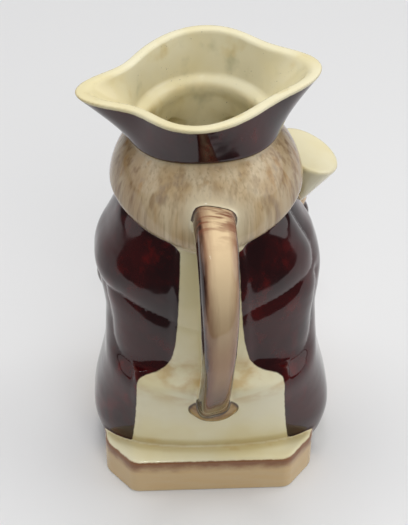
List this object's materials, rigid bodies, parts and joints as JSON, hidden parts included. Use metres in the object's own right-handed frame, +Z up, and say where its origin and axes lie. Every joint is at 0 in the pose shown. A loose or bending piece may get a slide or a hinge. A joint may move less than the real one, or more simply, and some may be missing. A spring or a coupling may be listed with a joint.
{
  "type": "toby jug",
  "caption": "Seated-figure jug in a three-cornered hat that forms the pouring mouth, with a raised beaker, a loop handle behind and a chamfered plinth.",
  "frame": {"origin": "middle of the plinth's flat underside, on the surface that the jug stands on", "axes": "+Z up through the hat's mouth, -Y where the figure faces, +Y where the handle stands, +X the figure's left hand"},
  "size_m": [0.1004, 0.1176, 0.1736],
  "materials": {
    "glazed_earthenware": "glossy clear glaze over cream ware with painted burgundy, brown and straw washes"
  },
  "bodies": {
    "root": {"toby_jug": "glazed_earthenware"}
  },
  "joints": []
}
